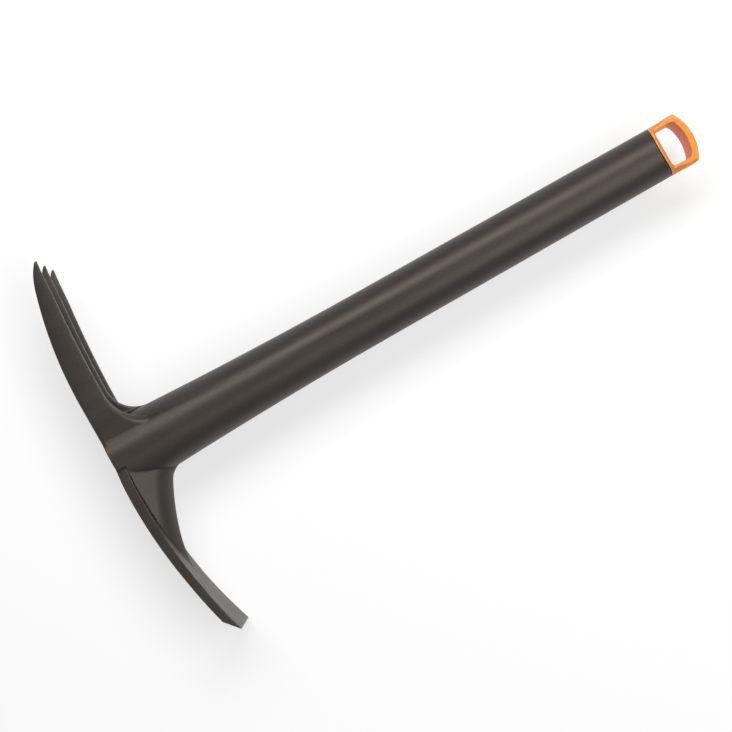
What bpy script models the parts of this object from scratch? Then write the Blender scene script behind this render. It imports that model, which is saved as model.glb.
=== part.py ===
"""Planters hoe: a hollow moulded body with a three-tined fork and a hoe blade, and a cap with a hanging eye.

The shapes are drawn in the tool's own axes: x runs along the handle from the head's flat front, y points
the way the tines do, and z crosses the blade, with the tool's plane of symmetry at z = 0. Everything then
hangs on one empty that lays the tool on its side, with the origin under its middle. Sizes are in metres.
"""

import math

import bmesh
import bpy
from mathutils import Vector

# Handle
HANDLE_LENGTH = 0.3713  # flat front of the head to the seam with the cap
HANDLE_REAR_RADIUS = 0.0159
HANDLE_WAIST_RADIUS = 0.01665  # where the flare begins
HEAD_RADIUS = 0.0222
FLARE_LENGTH = 0.175
FRONT_CHAMFER = 0.0008
SEAM_BOW = 0.0026  # how far the seam at the middle lies behind the seam at the top and underside

# Bore, drafted so that its core pulls out at the rear
BORE_MOUTH_RADIUS = 0.0124
BORE_FRONT_RADIUS = 0.0114
BORE_FRONT_ROUND = 0.004
FRONT_WALL = 0.010

# Fork
FORK_REACH = 0.1222  # handle axis to the tips
FORK_STEP = 0.0004  # how far the tines stand proud of the flat front
FORK_STRAIGHT = 0.035  # the tines are straight up to this height, then bend back
FORK_FRONT_BEND = 0.254
FORK_REAR_BEND = 0.690
TINE_DEPTH = 0.0153
TINE_ROOT_SPACING = 0.0160  # middle tine to outer tine at the handle axis
TINE_TIP_SPACING = 0.0237
TINE_ROOT_THICKNESS = 0.0073
TINE_TIP_THICKNESS = 0.0030
POINT_LENGTH = 0.0145
POINT_SHOULDER = 0.0090  # how far up the point the front edge turns in
TIP_SETBACK = 0.0193  # front of the head to the tips
FORK_FILLET = 0.018

# Hoe blade
BLADE_TOP = 0.007  # below the handle axis
BLADE_REACH = 0.1213
BLADE_WIDTH = 0.0417
BLADE_ROOT_THICKNESS = 0.0064
BLADE_END_THICKNESS = 0.0053
BLADE_BELLY = 0.0010  # how far the outer face stands in front of the head
BLADE_BELLY_DROP = 0.027
BLADE_BEND = 0.295
BLADE_FLARE_DROP = 0.075  # where the blade begins to widen
BLADE_FLARE_BLEND = 0.015
EDGE_WIDTH = 0.052
EDGE_THICKNESS = 0.0005
BEVEL_LENGTH = 0.0085

# Web between the handle and the blade
WEB_HALF_WIDTH = 0.0202  # at the blade's root
WEB_BACK_TAPER = 0.367  # half-width lost for each metre back from the blade
WEB_DOWN_TAPER = 0.198  # half-width lost for each metre down the blade
WEB_NOSE_RADIUS = 0.010
WEB_KEEL_BEND = 0.129
WEB_KEEL_FOOT = 0.0087  # front of the head to the keel where it runs square to the handle
WEB_KEEL_DROP = 0.087
WEB_FILLET = 0.007

# Cap
CAP_LENGTH = 0.0219  # seam to the end of the eye
CAP_END_BEND = 0.029
CAP_LIP = 0.0006
CAP_SHOULDER = 0.0045  # length over which the cap flattens
EYE_THICKNESS = 0.018
EYE_END_ROUND = 0.0022
EYE_WEB = 0.0022  # seam to the eye
EYE_RIM = 0.0034
EYE_BAR = 0.0047
EYE_ROOT_CORNER = 0.0025
EYE_END_CORNER = 0.0028
EYE_END_BEND = 0.028
EYE_CHAMFER = 0.0008
SPIGOT_LENGTH = 0.022
SPIGOT_WALL = 0.0022
SPIGOT_LEAD = 0.0010
SPIGOT_FLOOR = 0.0005  # how far the spigot's hollow ends short of the seam
BEAD_SETBACK = 0.012  # seam to the crest of the snap bead
BEAD_HEIGHT = 0.0005
BEAD_HALF_LENGTH = 0.0015

# Fits and fineness
SEAT_GAP = 0.0003
SINK = 0.0004  # how deep a fillet or a joined shape runs into its neighbour
SPARE = 0.002  # how far a cutter runs past what it cuts
SIDES = 48


def handle_radius(x):
    """Radius of the handle: a straight taper, with a flare towards the head."""
    taper = (HANDLE_WAIST_RADIUS - HANDLE_REAR_RADIUS) / (HANDLE_LENGTH - FLARE_LENGTH)
    straight = HANDLE_REAR_RADIUS + taper * (HANDLE_LENGTH - x)
    flare = HEAD_RADIUS - HANDLE_REAR_RADIUS - taper * HANDLE_LENGTH
    return straight + flare * max(0.0, 1 - x / FLARE_LENGTH) ** 2


def bore_radius(x):
    """Radius of the bore, which narrows towards the head."""
    along = (x - FRONT_WALL) / (HANDLE_LENGTH - FRONT_WALL)
    return BORE_FRONT_RADIUS + (BORE_MOUTH_RADIUS - BORE_FRONT_RADIUS) * along


def sagitta(radius, distance):
    """How far an arc has bent away from its tangent at a distance along it."""
    return radius - math.sqrt(radius**2 - distance**2)


def steps(first, last, count):
    """Evenly spaced values from first to last, both included."""
    return [first + (last - first) * i / count for i in range(count + 1)]


def arc(centre_x, centre_y, radius, first_degrees, last_degrees, count):
    """Points of an arc in a plane."""
    angles = [math.radians(a) for a in steps(first_degrees, last_degrees, count)]
    return [(centre_x + radius * math.cos(a), centre_y + radius * math.sin(a)) for a in angles]


def plastic(name, colour, roughness):
    """A plain moulded plastic."""
    material = bpy.data.materials.new(name)
    material.use_nodes = True
    shader = material.node_tree.nodes["Principled BSDF"]
    shader.inputs["Base Color"].default_value = (*colour, 1.0)
    shader.inputs["Roughness"].default_value = roughness
    shader.inputs["Metallic"].default_value = 0.0
    return material


def finished(name, mesh_builder, tool):
    """An object under the tool's empty, from a bmesh whose faces are turned outwards."""
    bmesh.ops.recalc_face_normals(mesh_builder, faces=mesh_builder.faces)
    mesh = bpy.data.meshes.new(name)
    mesh_builder.to_mesh(mesh)
    mesh_builder.free()
    made = bpy.data.objects.new(name, mesh)
    bpy.context.scene.collection.objects.link(made)
    made.parent = tool
    return made


def turned(name, profile, tool):
    """A solid of revolution about the handle's axis, from a profile of (x, radius) that ends on the axis.

    The profile starts half a facet round, so that no edge lies in the tool's plane of symmetry.
    """
    builder = bmesh.new()
    start = math.pi / SIDES
    points = [builder.verts.new((x, r * math.cos(start), r * math.sin(start))) for x, r in profile]
    edges = [builder.edges.new(pair) for pair in zip(points, points[1:])]
    bmesh.ops.spin(
        builder,
        geom=points + edges,
        cent=(0, 0, 0),
        axis=(1, 0, 0),
        angle=math.tau,
        steps=SIDES,
    )
    bmesh.ops.remove_doubles(builder, verts=builder.verts, dist=0.000001)
    return finished(name, builder, tool)


def lofted(name, rings, tool):
    """A closed skin over rings of equally many points, with its sides split into triangles."""
    builder = bmesh.new()
    loops = [[builder.verts.new(point) for point in ring] for ring in rings]
    sides = []
    for loop, following in zip(loops, loops[1:]):
        for i in range(len(loop)):
            j = (i + 1) % len(loop)
            sides.append(builder.faces.new((loop[i], loop[j], following[j], following[i])))
    builder.faces.new(loops[0])
    builder.faces.new(loops[-1])
    bmesh.ops.triangulate(builder, faces=sides)
    return finished(name, builder, tool)


def combine(target, operation, operand):
    """A Boolean that keeps its operand as a hidden guide."""
    operand.hide_render = True
    operand.display_type = "WIRE"
    modifier = target.modifiers.new(f"{operation.lower()} {operand.name}", "BOOLEAN")
    modifier.operation = operation
    modifier.solver = "EXACT"
    modifier.object = operand


def seam_arc(gap):
    """The seam seen along y: a shallow arc of (x, z) points, bowed towards the cap."""
    bend = (HANDLE_REAR_RADIUS**2 + SEAM_BOW**2) / (2 * SEAM_BOW)
    half = HANDLE_REAR_RADIUS + SPARE
    spread = math.degrees(math.asin(half / bend))
    return arc(HANDLE_LENGTH - bend, 0, bend + gap, -spread, spread, 11)


def handle_blank(tool):
    """The flared outside of the handle, a little longer than it will be."""
    end = HANDLE_LENGTH + SPARE
    stations = steps(FRONT_CHAMFER, FLARE_LENGTH, 10)
    profile = [(FORK_STEP, 0), (FORK_STEP, handle_radius(0) - FRONT_CHAMFER)]
    profile += [(x, handle_radius(x)) for x in stations]
    profile += [(end, handle_radius(end)), (end, 0)]
    return turned("hoe_body", profile, tool)


def fillet_base():
    """Radius at which the fillets meet the handle, sunk a little so that they meet it at a clear angle."""
    return handle_radius(TINE_DEPTH + FORK_FILLET) - SINK


def tine_point(shoulder_from, slope):
    """The front edge's last stretch: a quadratic curve that turns in to the tip."""
    shoulder = (shoulder_from[0] + slope * POINT_SHOULDER, shoulder_from[1] + POINT_SHOULDER)
    corners = (shoulder_from, shoulder, (TIP_SETBACK, FORK_REACH))
    points = []
    for t in steps(0, 1, 5)[1:]:
        weights = ((1 - t) ** 2, 2 * t * (1 - t), t**2)
        points.append(tuple(sum(w * c[i] for w, c in zip(weights, corners)) for i in (0, 1)))
    return points


def tine_outline(z):
    """Outline of a tine as (x, y) points, for the slice that stands at z on the handle."""
    heights = steps(FORK_STRAIGHT, FORK_REACH - POINT_LENGTH, 6)
    bent = [y - FORK_STRAIGHT for y in heights]
    front = [(0.0, 0.0)] + [(sagitta(FORK_FRONT_BEND, d), FORK_STRAIGHT + d) for d in bent]
    slope = bent[-1] / math.sqrt(FORK_FRONT_BEND**2 - bent[-1] ** 2)
    point = tine_point(front[-1], slope)
    rear = [(TINE_DEPTH + sagitta(FORK_REAR_BEND, d), FORK_STRAIGHT + d) for d in reversed(bent[1:])]
    centre_x = TINE_DEPTH + FORK_FILLET
    round_about = arc(centre_x, fillet_base() + FORK_FILLET, FORK_FILLET, 180, 270, 7)
    fillet = [(x, math.sqrt(max(radius**2 - z**2, SINK**2))) for x, radius in round_about]
    return front + point + rear + fillet + [(centre_x, 0.0)]


def tine(name, side, tool):
    """One tine, side being -1, 0 or 1: three slices of its outline, which thin and splay to the tip."""

    def middle(y):
        return side * (TINE_ROOT_SPACING + (TINE_TIP_SPACING - TINE_ROOT_SPACING) * y / FORK_REACH)

    def half_thickness(y):
        return (TINE_ROOT_THICKNESS + (TINE_TIP_THICKNESS - TINE_ROOT_THICKNESS) * y / FORK_REACH) / 2

    rings = []
    for slice_side in (-1, 0, 1):
        outline = tine_outline(middle(0) + slice_side * half_thickness(0))
        rings.append([(x, y, middle(y) + slice_side * half_thickness(y)) for x, y in outline])
    return lofted(name, rings, tool)


def blade_outer(y):
    """The blade's outer face, seen along z."""
    return sagitta(BLADE_BEND, y + BLADE_BELLY_DROP) - BLADE_BELLY


def blade_inner(y):
    """The blade's inner face, seen along z."""
    down = (-y - BLADE_TOP) / (BLADE_REACH - BLADE_TOP)
    thickness = BLADE_ROOT_THICKNESS + (BLADE_END_THICKNESS - BLADE_ROOT_THICKNESS) * down
    return blade_outer(y) + thickness


def blade_half_width(y):
    """Half the blade's width: even at first, then widening evenly to the cutting edge."""
    run = BLADE_REACH - BLADE_FLARE_DROP - BLADE_FLARE_BLEND / 2
    slope = (EDGE_WIDTH - BLADE_WIDTH) / 2 / run
    past = max(0.0, -y - BLADE_FLARE_DROP)
    blend = min(past, BLADE_FLARE_BLEND)
    return BLADE_WIDTH / 2 + slope * (blend**2 / (2 * BLADE_FLARE_BLEND) + past - blend)


def blade(tool):
    """The hoe blade: cross-sections down its bend, the last one ground to the cutting edge."""
    upper = steps(-BLADE_TOP, -BLADE_FLARE_DROP, 6)
    lower = steps(-BLADE_FLARE_DROP, BEVEL_LENGTH - BLADE_REACH, 5)
    outer_line = [(blade_outer(y), y) for y in upper + lower[1:]]
    outer_line.append((blade_inner(-BLADE_REACH) - EDGE_THICKNESS, -BLADE_REACH))
    rings = []
    for outer, y in outer_line:
        inner = blade_inner(y)
        half = blade_half_width(y)
        rings.append([(outer, y, -half), (inner, y, -half), (inner, y, half), (outer, y, half)])
    return lofted("blade_blank", rings, tool)


def keel():
    """The web's rear line as (x, y) points from the handle down: a small fillet, then a long concave arc."""
    bend_x = WEB_KEEL_FOOT + WEB_KEEL_BEND
    fillet_y = -fillet_base() - WEB_FILLET
    rise = fillet_y + WEB_KEEL_DROP
    fillet_x = bend_x - math.sqrt((WEB_KEEL_BEND - WEB_FILLET) ** 2 - rise**2)
    touch = math.degrees(math.atan2(rise, fillet_x - bend_x))
    fillet = arc(fillet_x, fillet_y, WEB_FILLET, 90, touch, 4)
    long_arc = arc(bend_x, -WEB_KEEL_DROP, WEB_KEEL_BEND, touch, 180, 9)
    return [(fillet_x, -BLADE_TOP - SINK)] + fillet + long_arc[1:]


def web(tool):
    """The web: level sections between the blade and the keel, with straight sides and a rounded nose."""
    lean = math.atan(WEB_BACK_TAPER)
    rings = []
    for keel_x, y in keel():
        level = WEB_HALF_WIDTH + WEB_DOWN_TAPER * (y + BLADE_TOP)

        def half_width(x):
            return level - WEB_BACK_TAPER * (x - BLADE_ROOT_THICKNESS + BLADE_BELLY)

        full_round = (half_width(keel_x) - SINK) * math.cos(lean) / (1 - math.sin(lean))
        nose = min(WEB_NOSE_RADIUS, full_round)
        nose_z = half_width(keel_x - nose) - nose / math.cos(lean)
        quarter = arc(keel_x - nose, nose_z, nose, 90 - math.degrees(lean), 0, 6)
        shoulder_x = min(blade_inner(y), quarter[0][0]) - SINK
        buried_x = min(blade_outer(y) + SINK, shoulder_x - SINK)
        half = [(buried_x, half_width(shoulder_x)), (shoulder_x, half_width(shoulder_x))] + quarter
        ring = half + [(x, -z) for x, z in reversed(half)]
        rings.append([(x, y, z) for x, z in ring])
    return lofted("web_blank", rings, tool)


def bore_core(tool):
    """The core that leaves the bore: rounded at the head, with a ridge for the cap's snap bead."""
    front = bore_radius(FRONT_WALL + BORE_FRONT_ROUND)
    turn = arc(FRONT_WALL + BORE_FRONT_ROUND, front - BORE_FRONT_ROUND, BORE_FRONT_ROUND, 180, 90, 4)
    groove = HANDLE_LENGTH - BEAD_SETBACK
    reach = BEAD_HALF_LENGTH + SEAT_GAP
    end = HANDLE_LENGTH + 2 * SPARE
    profile = [(FRONT_WALL, 0)] + turn
    profile.append((groove - reach, bore_radius(groove - reach)))
    profile.append((groove, bore_radius(groove) + BEAD_HEIGHT))
    profile.append((groove + reach, bore_radius(groove + reach)))
    profile += [(end, bore_radius(end)), (end, 0)]
    return turned("bore_core", profile, tool)


def seam_cutter(tool):
    """Trims the handle's end to the bowed seam."""
    side = seam_arc(0)
    end = HANDLE_LENGTH + 2 * SPARE
    outline = [(end, side[0][1])] + side + [(end, side[-1][1])]
    half = HANDLE_REAR_RADIUS + SPARE
    return lofted("seam_cutter", [[(x, y, z) for x, z in outline] for y in (-half, half)], tool)


def cap_blank(tool):
    """A round bar of the handle's radius, for the cap to be cut from."""
    first = HANDLE_LENGTH - SEAM_BOW - SPARE
    last = HANDLE_LENGTH + CAP_LENGTH + SPARE
    corner = HANDLE_REAR_RADIUS
    return turned("end_cap", [(first, 0), (first, corner), (last, corner), (last, 0)], tool)


def cap_side(tool):
    """The cap seen along y: the seam's bow, a thin lip, the shoulder and the flat eye."""
    half = HANDLE_REAR_RADIUS + SPARE
    shoulder = HANDLE_LENGTH - SEAM_BOW + SEAT_GAP + CAP_LIP
    flat = HANDLE_LENGTH - SEAM_BOW + CAP_SHOULDER
    end = HANDLE_LENGTH + CAP_LENGTH + SPARE
    face = EYE_THICKNESS / 2
    upper = [(shoulder, half), (shoulder, HANDLE_REAR_RADIUS), (flat, face), (end, face)]
    outline = seam_arc(SEAT_GAP) + upper + [(x, -z) for x, z in reversed(upper)]
    return lofted("cap_side", [[(x, y, z) for x, z in outline] for y in (-half, half)], tool)


def cap_plan(tool):
    """The cap seen from above: an arched end whose edges are rounded."""
    half = HANDLE_REAR_RADIUS + SPARE
    first = HANDLE_LENGTH - SEAM_BOW - 2 * SPARE
    centre = HANDLE_LENGTH + CAP_LENGTH - CAP_END_BEND
    straight = EYE_THICKNESS / 2 - EYE_END_ROUND
    levels = [(straight + z, EYE_END_ROUND - x) for x, z in arc(0, 0, EYE_END_ROUND, 0, 90, 4)]
    levels.append((half, EYE_END_ROUND))
    levels = [(-z, inset) for z, inset in reversed(levels)] + levels
    rings = []
    for z, inset in levels:
        bend = CAP_END_BEND - inset
        spread = math.degrees(math.asin(half / bend))
        outline = [(first, half)] + arc(centre, 0, bend, spread, -spread, 20) + [(first, -half)]
        rings.append([(x, y, z) for x, y in outline])
    return lofted("cap_plan", rings, tool)


def eye_outline(offset):
    """The D-shaped eye as (x, y) points: straight towards the handle, arched towards the end."""
    left = HANDLE_LENGTH + EYE_WEB - offset
    right = HANDLE_LENGTH + CAP_LENGTH - EYE_BAR + offset
    half = HANDLE_REAR_RADIUS - EYE_RIM + offset
    root_corner = EYE_ROOT_CORNER + offset
    end_corner = EYE_END_CORNER + offset
    bend = EYE_END_BEND + offset
    centre = right - bend
    corner_x = centre + math.sqrt((bend - end_corner) ** 2 - (half - end_corner) ** 2)
    turn = math.degrees(math.atan2(half - end_corner, corner_x - centre))
    upper = arc(left + root_corner, half - root_corner, root_corner, 180, 90, 4)
    upper += arc(corner_x, half - end_corner, end_corner, 90, turn, 5)
    upper += arc(centre, 0, bend, turn, 0, 5)[1:-1]
    return upper + [(right, 0)] + [(x, -y) for x, y in reversed(upper)]


def eye_cutter(tool):
    """Cuts the hanging eye, with a small chamfer at both faces."""
    face = EYE_THICKNESS / 2
    outer = EYE_CHAMFER + SINK
    levels = [(face - EYE_CHAMFER, 0), (face + SINK, outer), (HANDLE_REAR_RADIUS + SPARE, outer)]
    levels = [(-z, offset) for z, offset in reversed(levels)] + levels
    rings = [[(x, y, z) for x, y in eye_outline(offset)] for z, offset in levels]
    return lofted("eye_cutter", rings, tool)


def spigot(tool):
    """The hollow plug that fills the bore's mouth, with the snap bead that clicks into its groove."""

    def outside(x):
        return bore_radius(x) - SEAT_GAP

    tip = HANDLE_LENGTH - SPIGOT_LENGTH
    floor = HANDLE_LENGTH - SPIGOT_FLOOR
    root = HANDLE_LENGTH + EYE_WEB / 2
    bead = HANDLE_LENGTH - BEAD_SETBACK
    profile = [(floor, 0), (floor, outside(floor) - SPIGOT_WALL), (tip, outside(tip) - SPIGOT_WALL)]
    profile += [(tip, outside(tip) - SPIGOT_LEAD), (tip + SPIGOT_LEAD, outside(tip + SPIGOT_LEAD))]
    profile.append((bead - BEAD_HALF_LENGTH, outside(bead - BEAD_HALF_LENGTH)))
    profile.append((bead, outside(bead) + BEAD_HEIGHT))
    profile.append((bead + BEAD_HALF_LENGTH, outside(bead + BEAD_HALF_LENGTH)))
    profile += [(root, outside(root)), (root, 0)]
    return turned("spigot_blank", profile, tool)


def hoe_body(tool):
    """Handle, fork, blade and web as one moulding, with its bore."""
    body = handle_blank(tool)
    combine(body, "DIFFERENCE", seam_cutter(tool))
    combine(body, "UNION", blade(tool))
    combine(body, "UNION", web(tool))
    for name, side in (("tine_low", -1), ("tine_middle", 0), ("tine_high", 1)):
        combine(body, "UNION", tine(name, side, tool))
    combine(body, "DIFFERENCE", bore_core(tool))
    return body


def end_cap(tool):
    """The cap: ring, flattened eye and spigot."""
    cap = cap_blank(tool)
    combine(cap, "INTERSECT", cap_side(tool))
    combine(cap, "INTERSECT", cap_plan(tool))
    combine(cap, "DIFFERENCE", eye_cutter(tool))
    combine(cap, "UNION", spigot(tool))
    return cap


def dress(target, material):
    """Gives an object its material and smooth shading with sharp edges kept."""
    target.data.materials.append(material)
    target.data.shade_smooth()
    target.data.set_sharp_from_angle(angle=math.radians(30))


def main():
    """Clears the file and builds the tool, lying on its side with the origin under its middle."""
    for old in list(bpy.data.objects):
        bpy.data.objects.remove(old)
    tool = bpy.data.objects.new("planters_hoe", None)
    bpy.context.scene.collection.objects.link(tool)
    middle_x = (HANDLE_LENGTH + CAP_LENGTH - BLADE_BELLY) / 2
    middle_y = (FORK_REACH - BLADE_REACH) / 2
    lowest = max(EDGE_WIDTH / 2, TINE_TIP_SPACING + TINE_TIP_THICKNESS / 2, HEAD_RADIUS)
    tool.location = Vector((-middle_x, -middle_y, lowest))
    dress(hoe_body(tool), plastic("moulded_grey", (0.068, 0.060, 0.052), 0.55))
    dress(end_cap(tool), plastic("moulded_orange", (0.85, 0.27, 0.03), 0.45))
    bpy.context.view_layer.update()


main()
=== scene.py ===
# %% [markdown]
# # A planters hoe in moulded plastic
#
# The real tool is a short garden hoe. One hollow moulding of glass-fibre nylon is handle, three-tined fork,
# curved hoe blade and web at once, and an orange cap with a hanging eye closes the handle. This lesson
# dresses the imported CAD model: first the two shapes, then their finishes, then floor, light and camera.

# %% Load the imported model
import math
import bpy
import numpy as np
from mathutils import Matrix, Vector


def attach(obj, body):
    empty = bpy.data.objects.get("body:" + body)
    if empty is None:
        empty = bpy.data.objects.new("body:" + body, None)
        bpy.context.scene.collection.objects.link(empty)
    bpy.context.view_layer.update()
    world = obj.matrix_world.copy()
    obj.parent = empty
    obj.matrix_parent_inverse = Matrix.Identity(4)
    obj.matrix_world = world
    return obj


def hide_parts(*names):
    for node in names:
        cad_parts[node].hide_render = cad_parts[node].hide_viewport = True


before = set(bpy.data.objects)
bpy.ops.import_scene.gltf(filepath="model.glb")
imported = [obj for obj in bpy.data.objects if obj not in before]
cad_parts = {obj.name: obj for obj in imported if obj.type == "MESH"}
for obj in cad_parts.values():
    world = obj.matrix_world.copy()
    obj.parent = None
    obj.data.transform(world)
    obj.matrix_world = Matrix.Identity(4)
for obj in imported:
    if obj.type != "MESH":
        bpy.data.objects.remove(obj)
bpy.context.view_layer.update()

# %% [markdown]
# ## Where the tool lies
#
# The shapes are drawn in the tool's own axes, in millimetres: x runs along the handle from the head's flat
# front, y points the way the tines do, and z crosses the blade. The tool lies on its side, so one offset
# takes every point to its place in the model, which has its origin on the floor under the tool's middle.
# The offset follows from the outer sizes, so they come first. The others stand where they are first used.

# %% Outer sizes in millimetres
HANDLE_LENGTH = 371.3
CAP_LENGTH = 21.9
FORK_REACH = 122.2
BLADE_REACH = 121.3
BLADE_BELLY = 1.0  # how far the blade stands out in front of the head
EDGE_WIDTH = 52.0  # the blade's cutting edge is the widest part
OFFSET = np.array([
    -(HANDLE_LENGTH + CAP_LENGTH - BLADE_BELLY) / 2,
    -(FORK_REACH - BLADE_REACH) / 2,
    EDGE_WIDTH / 2,
])
print("the tool's own zero lies at", OFFSET.round(2), "mm in the model")

# %% [markdown]
# ## Shapes as distance fields
#
# On a moulding no two surfaces meet in a bare corner: the handle runs into the fork in one wide fillet, and
# every outer edge is rounded. Bevels and subdivision struggle where that many curved forms meet. A distance
# field makes it easy. It is a function that is negative inside the solid and grows with the distance from
# its surface. Two fields are joined with a fillet, or cut with a rounded edge, by one short formula each.

# %% Joining and cutting fields
ARC_LIMIT = 0.9  # no surface follows an arc further than this share of its radius


def joined(a, b, fillet):
    """Both solids, with a concave fillet where they meet."""
    corner = np.hypot(np.maximum(fillet - a, 0), np.maximum(fillet - b, 0))
    return np.maximum(fillet, np.minimum(a, b)) - corner


def shared(a, b, rounding):
    """What the two solids share, with its edge rounded."""
    corner = np.hypot(np.maximum(rounding + a, 0), np.maximum(rounding + b, 0))
    return np.minimum(-rounding, np.maximum(a, b)) + corner


def sagitta(bend, distance):
    """How far an arc has bent away from its tangent."""
    return bend - np.sqrt(bend**2 - np.minimum(np.abs(distance), bend * ARC_LIMIT) ** 2)


def fade(value, start, over):
    """Goes smoothly from 0 at the start to 1, over the distance given."""
    t = np.clip((value - start) / over, 0, 1)
    return t * t * (3 - 2 * t)


print("a corner of two walls, 1 mm from both, under a 4 mm fillet:", round(float(joined(1.0, 1.0, 4.0)), 2))

# %% [markdown]
# ## The handle
#
# The grip is a fat round tube. It tapers a little towards the rear and flares into the head, so its radius
# is one rule of x. The rear end is trimmed by a shallow arc: that is the bowed seam with the cap. The bore
# has draft, because the mould's core has to slide out of it.

# %% The handle's field
REAR_RADIUS = 15.9
WAIST_RADIUS = 16.65
HEAD_RADIUS = 22.2
FLARE_LENGTH = 175.0
SEAM_BOW = 2.6
SEAM_BEND = (REAR_RADIUS**2 + SEAM_BOW**2) / (2 * SEAM_BOW)
BORE_START = 10.0
BORE_START_RADIUS = 11.4
TUBE_FRONT = 0.25
FRONT_ROUNDING = 0.9


def handle_radius(x):
    """A straight taper with a flare towards the head."""
    taper = (WAIST_RADIUS - REAR_RADIUS) / (HANDLE_LENGTH - FLARE_LENGTH)
    flare = HEAD_RADIUS - REAR_RADIUS - taper * HANDLE_LENGTH
    return REAR_RADIUS + taper * (HANDLE_LENGTH - x) + flare * np.maximum(0, 1 - x / FLARE_LENGTH) ** 2


def bore_radius(x):
    """The bore widens by 1 mm on its way to the rear."""
    return BORE_START_RADIUS + (x - BORE_START) / (HANDLE_LENGTH - BORE_START)


def past_seam(x, z, gap=0.0):
    """How far a point lies past the bowed seam."""
    return np.hypot(np.maximum(x - HANDLE_LENGTH + SEAM_BEND, 0), z) - SEAM_BEND - gap


def handle(x, rho):
    """The tube, with a small edge round its flat front."""
    return shared(rho - handle_radius(x), TUBE_FRONT - x, FRONT_ROUNDING)


print("radius at the head, middle and seam:", [round(float(handle_radius(x)), 2) for x in (0, 185, 371)])

# %% [markdown]
# ## The tines from the side
#
# Three tines stand on the head. They are alike, but the outer two splay, so one outline serves all three
# and only the faces that cut it differ. Seen from the side, the front edge is straight, bends back, and
# turns in to a chisel point, which is a curve drawn from three control points. The rear edge runs into the
# handle in a fillet of 18 mm. That fillet follows the round handle, because it is made against the handle's
# radius and not against a flat. The handle used there stays just under the skin of the real one, so the two
# never coincide.

# %% The outline of the tines
TINE_DEPTH = 15.3
STRAIGHT_PART = 35
FRONT_BEND = 254.0
REAR_BEND = 690.0
FORK_FILLET = 18.0
UNDER_SKIN = 0.02
ROOT_SET_BACK = 0.4
REAR_TRIM = 0.9
EDGE_ROUNDING = 0.5
POINT_LENGTH = 14.5
POINT_SHOULDER = 9
POINT_STEPS = 24
TIP_X = 18.4
SHOULDER_STEEP = 0.3
TIP_STEEPER = 0.75
POINT_START = FORK_REACH - POINT_LENGTH
bent_part = POINT_START - STRAIGHT_PART
point_slope = bent_part / math.sqrt(FRONT_BEND**2 - bent_part**2)
point_x = float(sagitta(FRONT_BEND, bent_part))
shoulder_x = point_x + POINT_SHOULDER * point_slope
turn = np.linspace(0, 1, POINT_STEPS)
POINT_Y = POINT_START + 2 * POINT_SHOULDER * turn - (2 * POINT_SHOULDER - POINT_LENGTH) * turn**2
POINT_X = point_x * (1 - turn) ** 2 + shoulder_x * 2 * turn * (1 - turn) + TIP_X * turn**2


def tine_outline(x, y, rho):
    """The tines seen from the side, with the fillet down to the round handle."""
    bent = np.clip(y, STRAIGHT_PART, POINT_START) - STRAIGHT_PART
    arch = sagitta(FRONT_BEND, bent) + ROOT_SET_BACK * (1 - fade(y, start=0, over=12))
    front_x = np.where(y > POINT_START, np.interp(y, POINT_Y, POINT_X), arch)
    point_steep = SHOULDER_STEEP + fade(y, start=POINT_START, over=12) * TIP_STEEPER
    steep = np.where(y > POINT_START, point_steep, bent / FRONT_BEND)
    front = (front_x - x) / np.sqrt(1 + steep**2)
    rear_arch = sagitta(REAR_BEND, np.maximum(y - STRAIGHT_PART, 0))
    rear = x - TINE_DEPTH - rear_arch + REAR_TRIM * fade(y, start=96, over=26)
    solid = joined(rear, rho - handle_radius(x) + UNDER_SKIN, FORK_FILLET)
    return np.maximum(shared(front, solid, EDGE_ROUNDING), y - FORK_REACH)


print("front edge turns in from", round(point_x, 2), "mm at", POINT_START, "mm up")

# %% [markdown]
# ## The three tines
#
# Each tine is the outline between its own two faces. The faces lean with the splay and come together
# towards the tip. At the root they also come together a little towards the rear, so that the part leaves
# its mould. They are crowned as well: a tine is thickest along its middle, which lets the light run off
# towards both edges. Front edges are well rounded, and rear edges are crisp.

# %% The fork's field
TINE_THICKNESS = 7.3
TINE_THINNING = 4.3
TINE_SPACING = 16.0
TINE_SPLAY = 7.7
TINE_CROWN = 0.7
DEPTH_LOSS = 0.62  # the front edge bends back more than the rear edge does, so a tine gets slimmer
ROOT_DRAFT = 0.067
DRAFT_REACH = 60
DRAFT_DEPTH = 40
FRONT_EDGE_ROUND = 0.85  # as a share of half the thickness
REAR_EDGE_LESS = 0.55


def fork(outline, x, y, z):
    """Three tines: the outline, cut by the two faces of each tine."""
    front_x = sagitta(FRONT_BEND, np.maximum(y - STRAIGHT_PART, 0))
    across = 2 * (x - front_x) / (TINE_DEPTH - DEPTH_LOSS * front_x) - 1
    crown = TINE_CROWN * np.clip(across, -1, 1) ** 2 * fade(y, start=22, over=24)
    half = (TINE_THICKNESS - TINE_THINNING * y / FORK_REACH) / 2 - crown
    rounding = half * (FRONT_EDGE_ROUND - REAR_EDGE_LESS * fade(x, start=front_x, over=9))
    draft = ROOT_DRAFT * np.clip(1 - y / DRAFT_REACH, 0, 1) * np.clip(x, 0, DRAFT_DEPTH)
    tines = []
    for side in (-1, 0, 1):
        middle = side * (TINE_SPACING + TINE_SPLAY * y / FORK_REACH)
        tines.append(shared(outline, np.abs(z - middle) - half + draft, rounding))
    return np.maximum(np.minimum.reduce(tines), -y)


print("the tips of the outer tines stand", round(2 * (TINE_SPACING + TINE_SPLAY), 1), "mm apart")

# %% [markdown]
# ## The hoe blade
#
# The blade hangs on the other side of the head. It is a plate that bends back, widens near its end, and is
# bevelled from the outside to a thin cutting edge. Its faces are two arcs, and its edges are nearly sharp.
# Its top is sunk into the head. Right under the head it is a touch narrower, which leaves a ledge above it.

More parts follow.
